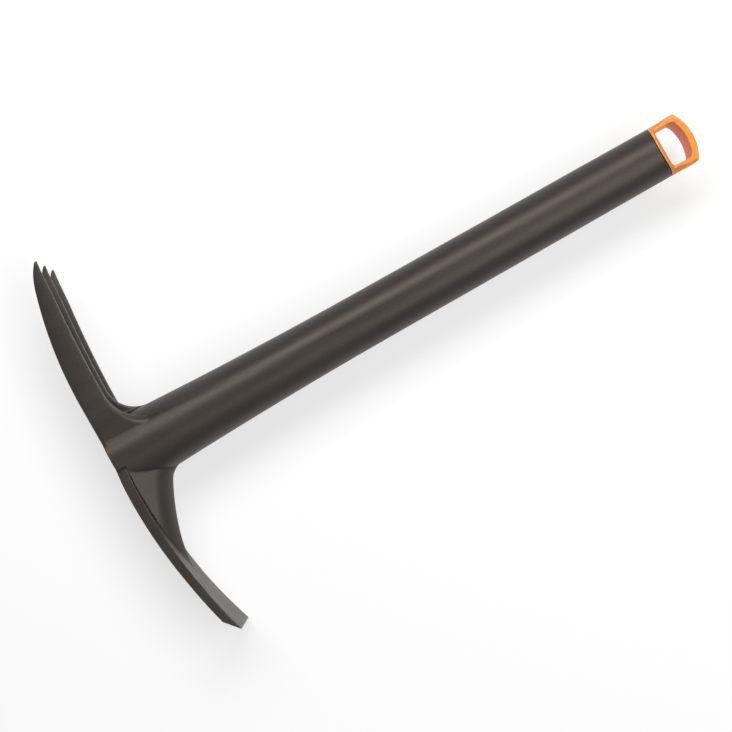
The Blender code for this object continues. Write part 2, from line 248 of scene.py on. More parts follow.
# %% The faces and the width of the blade
BLADE_TOP = 7.0
BLADE_BEND = 295.0
BELLY_DROP = 27
BELLY_EASE = 0.35
INNER_FACE_X = 5.4
PLATE_THINNING = 1.1
TOP_HALF_WIDTH = 20.4
LEDGE_RECESS = 0.45
EVEN_WIDTH = 41.7
WIDENING_DROP = 75
WIDENING_BLEND = 15


def blade_outer(y):
    """The outer face, seen from the side: an arc that eases into the head's flat front."""
    return sagitta(BLADE_BEND, y + BELLY_DROP) - BLADE_BELLY + BELLY_EASE * fade(y, start=-17, over=10)


def blade_inner(y):
    """The inner face: the plate thins from 6.4 to 5.3 mm."""
    thinner = PLATE_THINNING * (-y - BLADE_TOP) / (BLADE_REACH - BLADE_TOP)
    return sagitta(BLADE_BEND, y + BELLY_DROP) + INNER_FACE_X - thinner


def blade_half_width(y):
    """A little less under the head's ledge, then even, then widening to the cutting edge."""
    past = np.maximum(0, -y - WIDENING_DROP)
    blend = np.minimum(past, WIDENING_BLEND)
    slope = (EDGE_WIDTH - EVEN_WIDTH) / 2 / (BLADE_REACH - WIDENING_DROP - WIDENING_BLEND / 2)
    level = TOP_HALF_WIDTH + LEDGE_RECESS * fade(-y, start=BLADE_TOP, over=16)
    return level + slope * (blend**2 / (2 * WIDENING_BLEND) + past - blend)


widths = [round(float(2 * blade_half_width(-drop)), 1) for drop in (20, 60, BLADE_REACH)]
print("the blade is", widths, "mm wide near its top, at its middle and at its edge")

# %% [markdown]
# ## The cutting edge
#
# The bevel is on the outside only: one flat between the outer face and a thin land at the inner one. A
# straight line through two points gives it, and the plate is cut by it. A bevel modifier couldn't be used,
# because it would work on every edge of the plate alike.

# %% The blade's field
EDGE_LEFT = 0.5
BEVEL_HEIGHT = 8.5
STEEPEST_LEAN = 0.5
SUNK_IN_HEAD = 3
bevel_y = BEVEL_HEIGHT - BLADE_REACH
bevel_top = np.array([float(blade_outer(bevel_y)), bevel_y])
bevel_end = np.array([float(blade_inner(-BLADE_REACH)) - EDGE_LEFT, -BLADE_REACH])
bevel_run = (bevel_end - bevel_top) / np.linalg.norm(bevel_end - bevel_top)


def blade(x, y, z):
    """The plate between its faces, sides and ends."""
    lean = np.clip((-y - BELLY_DROP) / BLADE_BEND, 0, STEEPEST_LEAN)
    straight = np.sqrt(1 - lean**2)
    faces = np.maximum(blade_outer(y) - x, x - blade_inner(y)) * straight
    bevel = (x - bevel_top[0]) * bevel_run[1] - (y - bevel_top[1]) * bevel_run[0]
    plate = shared(np.maximum(faces, bevel), np.abs(z) - blade_half_width(y), EDGE_ROUNDING)
    return np.maximum(plate, np.maximum(y + BLADE_TOP - SUNK_IN_HEAD, -BLADE_REACH - y))


print("the cutting edge stands", round(float(bevel_end[0]), 1), "mm behind the head's front")

# %% [markdown]
# ## The web
#
# A wedge-shaped web with a rounded nose stiffens the blade. Seen from the side, its rear line, the keel, is
# a long concave arc with a small fillet up at the handle. Its cheeks lean in towards the nose, and at the
# blade they stay a little inside the blade's sides, which leaves the fine dark step that the photograph
# shows. The web starts just inside the plate, so that its cheeks never stand out of the blade's sides.

# %% The web's field
KEEL_BEND = 129.0
KEEL_FOOT = 9.1
KEEL_DROP = 87.0
KEEL_TOP = -10
KEEL_FILLET = 5.2
CHEEK_TAPER = 0.367
CHEEK_HALF_WIDTH = 20.2
CHEEK_CLOSING = 0.198
NOSE_FLAT = 0.4
NOSE_LEAST = 0.8
NOSE_MOST = 10.0
SUNK_IN_PLATE = 0.5
cheek_lean = math.atan(CHEEK_TAPER)


def web_outline(x, y, rho):
    """The web seen from the side, with the small fillet up to the handle."""
    arc_keel = KEEL_BEND - np.hypot(x - KEEL_FOOT - KEEL_BEND, y + KEEL_DROP)
    keel = np.where(y > -KEEL_DROP, arc_keel, x - KEEL_FOOT)
    return joined(keel, rho - handle_radius(x) + UNDER_SKIN, KEEL_FILLET)


def web(outline, x, y, z):
    """The outline between its two cheeks, with a round nose."""
    level = CHEEK_HALF_WIDTH + CHEEK_CLOSING * (y + BLADE_TOP)
    cheeks = (np.abs(z) - level + CHEEK_TAPER * (x - INNER_FACE_X)) * math.cos(cheek_lean)
    keel_x = KEEL_FOOT + sagitta(KEEL_BEND, np.minimum(y, KEEL_TOP) + KEEL_DROP)
    at_keel = (level - CHEEK_TAPER * (keel_x - INNER_FACE_X)) * math.cos(cheek_lean)
    narrow = at_keel / (1 - math.sin(cheek_lean))
    wedge = shared(outline, cheeks, np.clip(narrow - NOSE_FLAT, NOSE_LEAST, NOSE_MOST))
    return np.maximum(np.maximum(wedge, y + BLADE_TOP), blade_inner(y) - SUNK_IN_PLATE - x)


keel_end = float(KEEL_FOOT + sagitta(KEEL_BEND, KEEL_DROP - HEAD_RADIUS))
print("the keel reaches the handle about", round(keel_end, 1), "mm back")

# %% [markdown]
# ## One moulding
#
# The fork meets the tube in a small side fillet, the web in a nearly bare crease. Where their outlines have
# run into the tube the surfaces are the same, and a fillet there would only swell the handle, so its size
# fades with the distance between the two. The head ends above the blade in a straight ledge, and a fillet
# grows where the web runs out low on the blade. The bore is drawn only a little deeper than the cap's plug
# goes in, because nothing can look further.

# %% The whole moulding as one field
BARE = 0.01
LEDGE_ROUNDING = 0.5
FORK_SIDE_FILLET = 1.6
WEB_SIDE_FILLET = 0.4
FILLET_SHARE = 0.5  # of the room between tube and outline
TOE_FILLET = 1.4
POCKET_DEPTH = 26
SEAM_ROUNDING = 0.35


def side_fillet(tube, outline, most):
    """The size of a fillet that is gone where the outline has run into the tube."""
    return np.clip(FILLET_SHARE * (tube - outline), BARE, most)


def moulding(x, y, z):
    """Handle, fork, blade and web in one piece."""
    rho = np.hypot(y, z)
    beside_blade = blade_half_width(y) - np.abs(z)
    under_ledge = np.maximum(np.maximum(y + BLADE_TOP, x - blade_inner(y)), beside_blade)
    tube = shared(handle(x, rho), -under_ledge, LEDGE_ROUNDING)
    from_side = tine_outline(x, y, rho)
    body = joined(tube, fork(from_side, x, y, z), side_fillet(tube, from_side, FORK_SIDE_FILLET))
    from_side = web_outline(x, y, rho)
    body = joined(body, web(from_side, x, y, z), side_fillet(tube, from_side, WEB_SIDE_FILLET))
    body = joined(body, blade(x, y, z), BARE + TOE_FILLET * fade(-y, start=60, over=14))
    pocket = np.maximum(rho - bore_radius(x), HANDLE_LENGTH - POCKET_DEPTH - x)
    return np.maximum(shared(body, past_seam(x, z), SEAM_ROUNDING), -pocket)


print("field at the head's middle:", round(float(moulding(8.0, 0.0, 0.0)), 2), "mm")

# %% [markdown]
# ## A grid round the moulding
#
# To become a mesh, the field is read on a grid. A finer grid shows smaller edges and costs more faces, so
# its lines stand close together only where a thin edge or a small fillet needs them: at the cutting edge,
# under the head's ledge, at the tips and at the seam. Along the straight grip, where little changes, they
# stand 3 mm apart.

# %% Grid lines and readings
LAYERS_AT_ONCE = 8


def spaced(*runs):
    """Grid lines from (start, end, step) runs, each joined to the next."""
    lines = [np.linspace(a, b, max(2, round((b - a) / step) + 1))[:-1] for a, b, step in runs]
    return np.concatenate(lines + [[runs[-1][1]]])


def read_on_grid(field, xs, ys, zs):
    """The field's values on the grid, a few layers at a time."""
    firsts = range(0, len(xs), LAYERS_AT_ONCE)
    layers = [xs[i:i + LAYERS_AT_ONCE, None, None] for i in firsts]
    return np.concatenate([field(layer, ys[None, :, None], zs[None, None, :]) for layer in layers])


body_x = spaced((-2.2, 18.4, 0.66), (18.4, 20.6, 0.24), (20.6, 54, 1.1), (54, 330, 3.0), (330, 368, 1.8),
                (368, 373, 0.4))
body_y = spaced((-122.2, -119.5, 0.35), (-119.5, -9.2, 0.88), (-9.2, -5.6, 0.3), (-5.6, 119.5, 0.88),
                (119.5, 123, 0.4))
body_z = spaced((-26.7, 26.7, 0.65))
print("the body's grid has", len(body_x), "by", len(body_y), "by", len(body_z), "lines")

# %% [markdown]
# ## From a field to a mesh
#
# Each grid cell that the surface passes gets one point, at the middle of the places where its edges cross
# the surface, and each crossed edge gets one face between the four cells round it. A surface made so is
# closed by itself, and the end of the edge that lies inside tells which way the face has to point.

# %% The surface as points and faces
def crossings(values, lines, axis):
    """Where the grid's edges along one axis cross the surface."""
    first = np.take(values, range(values.shape[axis] - 1), axis)
    last = np.take(values, range(1, values.shape[axis]), axis)
    crossed = np.argwhere((first < 0) != (last < 0))
    a, b = first[tuple(crossed.T)], last[tuple(crossed.T)]
    points = np.stack([lines[k][crossed[:, k]] for k in range(3)], axis=1)
    gap = lines[axis][crossed[:, axis] + 1] - points[:, axis]
    points[:, axis] += gap * a / (a - b)
    return crossed, points, a < 0


def skin(field, xs, ys, zs):
    """Points and outward faces of the field's surface."""
    values = read_on_grid(field, xs, ys, zs)
    cells = np.array(values.shape) - 1
    total = np.zeros((cells.prod(), 3))
    count = np.zeros(cells.prod())
    quads = []
    for axis in range(3):
        crossed, points, inside_first = crossings(values, (xs, ys, zs), axis)
        u, v = (axis + 1) % 3, (axis + 2) % 3
        ring = []
        for du, dv in ((1, 1), (0, 1), (0, 0), (1, 0)):
            cell = crossed.copy()
            cell[:, u] -= du
            cell[:, v] -= dv
            ring.append(np.ravel_multi_index(cell.T, cells))
        for near in ring:
            np.add.at(total, near, points)
            np.add.at(count, near, 1)
        around = np.stack(ring, axis=1)
        quads.append(np.where(inside_first[:, None], around, around[:, ::-1]))
    used = np.flatnonzero(count)
    number = np.zeros(len(count), dtype=int)
    number[used] = np.arange(len(used))
    return total[used] / count[used, None], number[np.concatenate(quads)]


points, faces = skin(moulding, body_x, body_y, body_z)
print("the moulding's surface has", len(points), "points and", len(faces), "faces, still uneven")

# %% [markdown]
# ## Even points on the true surface
#
# The raw points lie in steps, as the grid does. Each is moved towards the middle of its neighbours, which
# evens them out, and then back on the surface along the field's gradient, a few times over. The field also
# says how strongly the surface bends at each point, which the finishes need later to tell edge from hollow.

# %% Settling the points and measuring the bend
EVENING = 0.6
LEAST_SLOPE = 0.2
LONGEST_STEP = 0.6
BEND_LIMIT = 1.5


def beside(points, axis, distance):
    """The same points, moved along one axis, as the three arguments of a field."""
    return (points + distance * np.eye(3)[axis]).T


def gradient(field, points, reach=0.06):
    """Which way the field grows at each point: straight out of the surface."""
    either = [[field(*beside(points, k, side * reach)) for side in (-1, 1)] for k in range(3)]
    return np.stack([(b - a) / (2 * reach) for a, b in either], axis=1)


def settled(field, points, faces, rounds=4):
    """Evens the points out along the surface and puts them back on it."""
    ends = np.concatenate([faces[:, [k, (k + 1) % 4]] for k in range(4)])
    degree = np.bincount(ends[:, 0], minlength=len(points))[:, None]
    for turn_number in range(rounds + 2):
        if turn_number < rounds:
            neighbours = [np.bincount(ends[:, 0], points[ends[:, 1], k], len(points)) for k in range(3)]
            points = (1 - EVENING) * points + EVENING * np.stack(neighbours, 1) / degree
        slope = gradient(field, points)
        step = field(*points.T) / np.maximum((slope**2).sum(1), LEAST_SLOPE)
        points = points - np.clip(step, -LONGEST_STEP, LONGEST_STEP)[:, None] * slope
    return points


def bend(field, points, reach=0.7):
    """How strongly the surface bends at each point: above 0 on outer edges, below 0 in concave places."""
    six_around = sum(field(*beside(points, k, side * reach)) for k in range(3) for side in (-1, 1))
    return np.clip((six_around - 6 * field(*points.T)) / reach**2, -BEND_LIMIT, BEND_LIMIT)


print("the raw points lie within", round(float(np.abs(moulding(*points.T)).max()), 2), "mm of the surface")

# %% [markdown]
# ## The moulding as a mesh object
#
# A mesh can be filled with foreach_set, which takes whole arrays and is far quicker than a face at a time.
# Normals could be left to Blender, which averages those of the faces, but faces this small and uneven would
# then shade in ripples. The field's gradient gives the exact normals, so the mesh takes those.

# %% Mesh objects from fields
def piece_from_field(name, field, points, faces):
    """A mesh object of the field's surface, in the model's place, with its bend kept as an attribute."""
    points = settled(field, points, faces)
    mesh = bpy.data.meshes.new(name)
    mesh.vertices.add(len(points))
    mesh.vertices.foreach_set("co", ((points + OFFSET) / 1000).ravel())
    mesh.loops.add(faces.size)
    mesh.loops.foreach_set("vertex_index", faces.ravel())
    mesh.polygons.add(len(faces))
    mesh.polygons.foreach_set("loop_start", np.arange(0, faces.size, 4))
    mesh.polygons.foreach_set("use_smooth", np.ones(len(faces), dtype=bool))
    mesh.update(calc_edges=True)
    mesh.attributes.new("bend", "FLOAT", "POINT").data.foreach_set("value", bend(field, points))
    outward = gradient(field, points)
    mesh.normals_split_custom_set_from_vertices(outward / np.linalg.norm(outward, axis=1)[:, None])
    made = bpy.data.objects.new(name, mesh)
    bpy.context.scene.collection.objects.link(made)
    print(name, "has", len(points), "points and", len(faces), "faces")
    return made


body_shape = piece_from_field("moulded_body_shape", moulding, points, faces)

# %% [markdown]
# ## The eye of the cap
#
# The orange cap ends in a flat loop with a D-shaped opening, to hang the tool up. Seen from above, the
# opening has a straight root, two straight sides and an arch. Its two corners at the root are a little
# tighter than the two at the arch, so the outline is cut from these lines in two steps.

# %% The eye's field
ROOT_BAR = 2.2
END_BAR = 4.7
SIDE_BAR = 3.4
END_X = HANDLE_LENGTH + CAP_LENGTH
EYE_START = HANDLE_LENGTH + ROOT_BAR
EYE_END = END_X - END_BAR
EYE_HALF = REAR_RADIUS - SIDE_BAR
EYE_ARCH = 28.0
EYE_ROOT_CORNER = 2.5
EYE_ARCH_CORNER = 2.8


def eye(x, y):
    """The D-shaped opening, seen from above."""
    root = shared(EYE_START - x, np.abs(y) - EYE_HALF, EYE_ROOT_CORNER)
    arch = np.hypot(x - EYE_END + EYE_ARCH, y) - EYE_ARCH
    return shared(shared(root, arch, 0.0), np.abs(y) - EYE_HALF, EYE_ARCH_CORNER)


print("the eye is", round(EYE_END - EYE_START, 1), "mm long and", round(2 * EYE_HALF, 1), "mm wide")

# %% [markdown]
# ## The outside of the cap
#
# The cap continues the round handle, is flattened on both sides by a sloping shoulder, and ends in an arch.
# Its side walls turn from round at the seam to straight at the end, which gives the two crisp corners. With
# meshes this would take several booleans. As a field it takes the same two formulas as the body.

# %% The field of the cap's outside
EYE_THICKNESS = 18.0
SHOULDER_LENGTH = 4.5
SHOULDER_FOOT = HANDLE_LENGTH - SEAM_BOW + SHOULDER_LENGTH
SHOULDER_RISE = 2.1
SHOULDER_LEVEL = 0.43  # turns a height above that slope into a distance from it
END_ARCH = 29.0
END_ROUNDING = 1.8
WALL_ROUNDING = 2.4
CAP_EDGE = 0.35
LIP_GAP = 0.3
LIP_ROUNDING = 0.3
EYE_ROUNDING = 1.3


def cap_ring(x, y, z, rho):
    """The visible part: round at the seam, flattened and arched at the end, with its eye."""
    half = EYE_THICKNESS / 2
    shoulder = (np.abs(z) - half - (SHOULDER_FOOT - x) * SHOULDER_RISE) * SHOULDER_LEVEL
    flat = joined(np.abs(z) - half, shoulder, 0.0)
    end = np.hypot(x - END_X + END_ARCH, y) - END_ARCH
    slab = shared(flat, end, END_ROUNDING)
    squarer = fade(x - HANDLE_LENGTH, start=1, over=12)
    walls = shared(np.abs(y) - REAR_RADIUS, np.abs(z) - half, WALL_ROUNDING)
    outside = (1 - squarer) * (rho - REAR_RADIUS) + squarer * walls
    ring = shared(shared(outside, slab, CAP_EDGE), -past_seam(x, z, LIP_GAP), LIP_ROUNDING)
    return shared(ring, -eye(x, y), EYE_ROUNDING)


print("the cap is flattened to", EYE_THICKNESS, "mm and ends at", round(END_X, 1), "mm")

# %% [markdown]
# ## The plug and the whole cap
#
# The cap is held by its plug, which goes into the handle's bore and has a snap bead round it. Only a thin
# line of it could ever be seen, but a cap without it would float. Ring and plug are one moulding, so their
# fields are put together before the mesh is made, and the grid is finest at the lip beside the seam.

# %% The cap's field and mesh
PLUG_CLEARANCE = 0.3
PLUG_LENGTH = 22
PLUG_ROUNDING = 0.8
PLUG_PAST_SEAM = 1.0
BEAD_HEIGHT = 0.5
BEAD_DEPTH = 12
BEAD_HALF_LENGTH = 1.5
PLUG_WALL = 2.5
HOLLOW_END = 0.5


def cap_plug(x, z, rho):
    """The plug with its snap bead."""
    bead = BEAD_HEIGHT * np.maximum(0, 1 - np.abs(x - HANDLE_LENGTH + BEAD_DEPTH) / BEAD_HALF_LENGTH)
    radius = bore_radius(x) - PLUG_CLEARANCE + bead
    plug = shared(rho - radius, HANDLE_LENGTH - PLUG_LENGTH - x, PLUG_ROUNDING)
    return np.maximum(plug, past_seam(x, z, PLUG_PAST_SEAM))


def cap(x, y, z):
    """Ring and plug in one piece, hollow from the front."""
    rho = np.hypot(y, z)
    hollow = np.maximum(rho - bore_radius(x) + PLUG_WALL, x - HANDLE_LENGTH + HOLLOW_END)
    return np.maximum(np.minimum(cap_ring(x, y, z, rho), cap_plug(x, z, rho)), -hollow)


cap_x = spaced((348.5, 366, 0.7), (366, 368.2, 0.42), (368.2, 370.6, 0.2), (370.6, 394, 0.42))
cap_across = spaced((-16.6, 16.6, 0.45))
cap_shape = piece_from_field("end_cap_shape", cap, *skin(cap, cap_x, cap_across, cap_across))

# %% [markdown]
# ## Helpers for node trees
#
# Both the skin and the finishes are node trees. In a script each node takes several lines: make it, set its
# properties, fill or link its inputs. Four short helpers do that, so that the trees below read like sums.

# %% Helpers for trees, nodes, sums and noise
def new_tree(name, kind, sockets):
    """A node tree with named sockets, each given as (name, in or out, type, default)."""
    tree = bpy.data.node_groups.new(name, kind)
    for label, side, socket_type, default in sockets:
        socket = tree.interface.new_socket(name=label, in_out=side, socket_type=socket_type)
        if default is not None:
            socket.default_value = default
    print("node tree", name, "has the sockets", [(label, side.lower()) for label, side, _, _ in sockets])
    return tree


def wire(tree, kind, inputs=None, **settings):
    """Adds a node, sets its properties, and fills inputs with values or with other nodes' outputs."""
    node = tree.nodes.new(kind)
    for key, value in settings.items():
        setattr(node, key, value)
    for key, value in (inputs or {}).items():
        if isinstance(value, bpy.types.NodeSocket):
            tree.links.new(value, node.inputs[key])
        else:
            node.inputs[key].default_value = value
    return node


def reckon(tree, operation, *values):
    """The result of a Math node."""
    return wire(tree, "ShaderNodeMath", dict(enumerate(values)), operation=operation).outputs[0]


def noise(tree, inputs, **settings):
    """The value of a noise texture."""
    return wire(tree, "ShaderNodeTexNoise", inputs, **settings).outputs[0]


print("helpers for node trees:", [helper.__name__ for helper in (new_tree, wire, reckon, noise)])

# %% [markdown]
# ## The skin of a moulding
#
# No moulding is perfectly true. The plastic shrinks as it cools, and its skin sinks by a few hundredths of
# a millimetre on the cap and by up to two tenths on the body, which breaks up the long highlight on the
# grip. That follows the surface by a rule, so a small Geometry Nodes tree does it: slow noise, read at each
# point, moves the point inwards along its normal.

# %% A Geometry Nodes tree for the skin
skin_tree = new_tree("moulded_skin", "GeometryNodeTree", [
    ("Geometry", "INPUT", "NodeSocketGeometry", None),
    ("Depth", "INPUT", "NodeSocketFloat", 0.00004),
    ("Wavelength", "INPUT", "NodeSocketFloat", 0.03),
    ("Seed", "INPUT", "NodeSocketFloat", 1.0),
    ("Material", "INPUT", "NodeSocketMaterial", None),
    ("Geometry", "OUTPUT", "NodeSocketGeometry", None),
])
given = wire(skin_tree, "NodeGroupInput").outputs
place = wire(skin_tree, "GeometryNodeInputPosition").outputs[0]
fine = reckon(skin_tree, "DIVIDE", 1.0, given["Wavelength"])
slow = noise(skin_tree, {"Vector": place, "W": given["Seed"], "Scale": fine, "Detail": 1.0},
             noise_dimensions="4D")
height = reckon(skin_tree, "MULTIPLY", reckon(skin_tree, "SUBTRACT", slow, 1.0), given["Depth"])
normal = wire(skin_tree, "GeometryNodeInputNormal").outputs[0]
lift = wire(skin_tree, "ShaderNodeVectorMath", {0: normal, "Scale": height}, operation="SCALE").outputs[0]
moved = wire(skin_tree, "GeometryNodeSetPosition", {"Geometry": given["Geometry"], "Offset": lift})
real = wire(skin_tree, "GeometryNodeRealizeInstances", {"Geometry": moved.outputs[0]}).outputs[0]
clad = wire(skin_tree, "GeometryNodeSetMaterial", {"Geometry": real, "Material": given["Material"]})
wire(skin_tree, "NodeGroupOutput", {"Geometry": clad.outputs[0]})


def skinned(shape, name, material, depth, wavelength, seed):
    """Runs the tree on a shape and keeps the result as a plain mesh."""
    modifier = shape.modifiers.new("skin", "NODES")
    modifier.node_group = skin_tree
    sockets = {s.name: s.identifier for s in skin_tree.interface.items_tree if s.in_out == "INPUT"}
    values = {"Depth": depth, "Wavelength": wavelength, "Seed": seed, "Material": material}
    for label, value in values.items():
        modifier[sockets[label]] = value
    bpy.context.view_layer.update()
    result = bpy.data.meshes.new_from_object(shape.evaluated_get(bpy.context.evaluated_depsgraph_get()))
    shape.modifiers.remove(modifier)
    bpy.data.objects.remove(shape)
    result.name = name
    made = bpy.data.objects.new(name, result)
    bpy.context.scene.collection.objects.link(made)
    kept = [a.name for a in result.attributes if a.name == "bend"]
    print(name, "keeps", kept, "and", len(result.vertices), "points")
    return made


# %% [markdown]
# ## Spark texture
#
# Both plastics share three effects, so each effect is a shader node group. The first is the fine, even
# grain that the mould's eroded steel leaves on a grip. It is a height for a Bump node: small pits with a
# slower swell under them, both read from Object coordinates, so that they stay on the surface.

# %% Shader group: spark texture
SWELL_SCALE = 0.23  # as a share of the pits' own scale
SWELL_SHARE = 0.5
grain_group = new_tree("spark_texture", "ShaderNodeTree", [
    ("Grain size", "INPUT", "NodeSocketFloat", 0.0007),
    ("Height", "OUTPUT", "NodeSocketFloat", None),
])
given = wire(grain_group, "NodeGroupInput").outputs
place = wire(grain_group, "ShaderNodeTexCoord").outputs["Object"]
per_metre = reckon(grain_group, "DIVIDE", 1.0, given["Grain size"])
pits = noise(grain_group, {"Vector": place, "Scale": per_metre, "Detail": 2.0})
wide = reckon(grain_group, "MULTIPLY", per_metre, SWELL_SCALE)
swell = noise(grain_group, {"Vector": place, "Scale": wide, "Detail": 1.0})
both = reckon(grain_group, "MULTIPLY_ADD", swell, SWELL_SHARE, pits)
wire(grain_group, "NodeGroupOutput", {"Height": both})


# %% [markdown]
# ## Flow of the plastic
#
# Fibre-filled plastic isn't one flat colour: it shows a slow mottling, drawn out along the way it flowed
# into the mould, and a few pale specks. Noise that is stretched along the handle by a Mapping node gives
# both. The group also puts out its mask, because the mottling is faintly duller as well as paler.

# %% Shader group: flow of the plastic
STRETCH = (0.35, 1.0, 1.0)
SPECKS_PER_METRE = 1400.0
SPECK_COLOUR = (0.8, 0.75, 0.68, 1)


def graded(tree, value, zero_at, one_at, **settings):
    """A ramp from 0 to 1 between two limits of the value."""
    return wire(tree, "ShaderNodeMapRange", {0: value, 1: zero_at, 2: one_at}, **settings).outputs[0]


def mixed(tree, share, first, second):
    """A colour between two others."""
    return wire(tree, "ShaderNodeMix", {0: share, 6: first, 7: second}, data_type="RGBA").outputs[2]


flow_group = new_tree("plastic_flow", "ShaderNodeTree", [
    ("Colour", "INPUT", "NodeSocketColor", (0.5, 0.5, 0.5, 1)),
    ("Streak colour", "INPUT", "NodeSocketColor", (0.6, 0.6, 0.6, 1)),
    ("Streak size", "INPUT", "NodeSocketFloat", 0.012),
    ("Speckle", "INPUT", "NodeSocketFloat", 0.1),
    ("Colour", "OUTPUT", "NodeSocketColor", None),
    ("Mask", "OUTPUT", "NodeSocketFloat", None),
])
given = wire(flow_group, "NodeGroupInput").outputs
place = wire(flow_group, "ShaderNodeTexCoord").outputs["Object"]
drawn_out = wire(flow_group, "ShaderNodeMapping", {"Vector": place, "Scale": STRETCH}).outputs[0]
per_metre = reckon(flow_group, "DIVIDE", 1.0, given["Streak size"])
cloud = noise(flow_group, {"Vector": drawn_out, "Scale": per_metre, "Detail": 4.0, "Roughness": 0.55,
                           "Distortion": 0.6})
mask = graded(flow_group, cloud, zero_at=0.3, one_at=0.7, interpolation_type="SMOOTHSTEP")
streaked = mixed(flow_group, mask, given["Colour"], given["Streak colour"])
dots = noise(flow_group, {"Vector": drawn_out, "Scale": SPECKS_PER_METRE, "Detail": 1.0})
specks = graded(flow_group, dots, zero_at=0.62, one_at=0.78)
shown = reckon(flow_group, "MULTIPLY", specks, given["Speckle"])
specked = mixed(flow_group, shown, streaked, SPECK_COLOUR)
wire(flow_group, "NodeGroupOutput", {"Colour": specked, "Mask": mask})

# %% [markdown]
# ## Edge wear and painted crease shade
#
# Use rubs a moulding's outer edges paler and smoother. Its concave places are painted darker, which is
# painted shade in the creases. Pointiness could tell edges from creases, but it changes with the size of
# the faces, so the group reads the bend that was kept on the mesh. Noise breaks the rubbing up, or the
# edges would look outlined.

# %% Shader group: edge wear and painted crease shade
RUBS_PER_METRE = 260.0
POLISH = -0.12
wear_and_shade_group = new_tree("edge_wear_and_crease_shade", "ShaderNodeTree", [
    ("Colour", "INPUT", "NodeSocketColor", (0.5, 0.5, 0.5, 1)),
    ("Rubbed colour", "INPUT", "NodeSocketColor", (0.6, 0.6, 0.6, 1)),
    ("Crease shade colour", "INPUT", "NodeSocketColor", (0.3, 0.3, 0.3, 1)),
    ("Roughness", "INPUT", "NodeSocketFloat", 0.5),
    ("Colour", "OUTPUT", "NodeSocketColor", None),
    ("Roughness", "OUTPUT", "NodeSocketFloat", None),
])
given = wire(wear_and_shade_group, "NodeGroupInput").outputs
bent = wire(wear_and_shade_group, "ShaderNodeAttribute", attribute_name="bend").outputs["Fac"]
place = wire(wear_and_shade_group, "ShaderNodeTexCoord").outputs["Object"]
rub = noise(wear_and_shade_group, {"Vector": place, "Scale": RUBS_PER_METRE, "Detail": 3.0})
broken = graded(wear_and_shade_group, rub, zero_at=0.35, one_at=0.65)
edges = graded(wear_and_shade_group, bent, zero_at=0.25, one_at=1.1)
worn = reckon(wear_and_shade_group, "MULTIPLY", edges, broken)
# Painted shade: the concave places along the creases get the darker colour.
crease_shade_mask = graded(wear_and_shade_group, bent, zero_at=-0.08, one_at=-0.55)
rubbed = mixed(wear_and_shade_group, worn, given["Colour"], given["Rubbed colour"])
shaded = mixed(wear_and_shade_group, crease_shade_mask, rubbed, given["Crease shade colour"])
smoother = reckon(wear_and_shade_group, "MULTIPLY_ADD", worn, POLISH, given["Roughness"])
wire(wear_and_shade_group, "NodeGroupOutput", {"Colour": shaded, "Roughness": smoother})

# %% [markdown]
# ## The two plastics
#
# The body is glass-fibre nylon: dark, warm grey, matte, with a soft broad sheen. The cap is unfilled orange
# nylon with a shallower grain, and light scatters in it just enough to soften its shadows. Both are the
# same chain of groups with values of their own, so one function makes them. What is the same all over the
# surface is set on the shader's own socket.

# %% Materials of the body and the cap
UNEVEN_ROUGHNESS = 0.06


def linear(red, green, blue):
    """A colour as written on screen, 0 to 255, turned into the values that Blender's sockets take."""
    values = [c / 255 for c in (red, green, blue)]
    return tuple(((v + 0.055) / 1.055) ** 2.4 if v > 0.04045 else v / 12.92 for v in values) + (1.0,)


def plastic(name, colour, streak, rubbed, hollow, streak_size, speckle, roughness, grain_size, grain_depth,
            sockets):
    """A moulded plastic: flow, then edge wear and painted crease shade, then the spark texture as a bump.
    """
    material = bpy.data.materials.new(name)
    material.use_nodes = True
    tree = material.node_tree
    shader = tree.nodes["Principled BSDF"]
    flow = wire(tree, "ShaderNodeGroup", {
        "Colour": linear(*colour), "Streak colour": linear(*streak), "Streak size": streak_size,
        "Speckle": speckle}, node_tree=flow_group).outputs
    uneven = reckon(tree, "MULTIPLY_ADD", flow["Mask"], UNEVEN_ROUGHNESS, roughness - UNEVEN_ROUGHNESS / 2)
    # The rubbed colour is edge wear; the hollow colour is painted shade for the creases.
    wear_and_shade = wire(tree, "ShaderNodeGroup", {
        "Colour": flow["Colour"], "Rubbed colour": linear(*rubbed), "Crease shade colour": linear(*hollow),
        "Roughness": uneven}, node_tree=wear_and_shade_group).outputs
    grain = wire(tree, "ShaderNodeGroup", {"Grain size": grain_size}, node_tree=grain_group)
    bump = wire(tree, "ShaderNodeBump", {
        "Height": grain.outputs["Height"], "Strength": 1.0, "Distance": grain_depth})
    tree.links.new(wear_and_shade["Colour"], shader.inputs["Base Color"])
    tree.links.new(wear_and_shade["Roughness"], shader.inputs["Roughness"])
    tree.links.new(bump.outputs[0], shader.inputs["Normal"])
    for label, value in sockets.items():
        shader.inputs[label].default_value = value
    print(name, "is of colour", colour, "and roughness", roughness, "and sets", sorted(sockets))
    return material


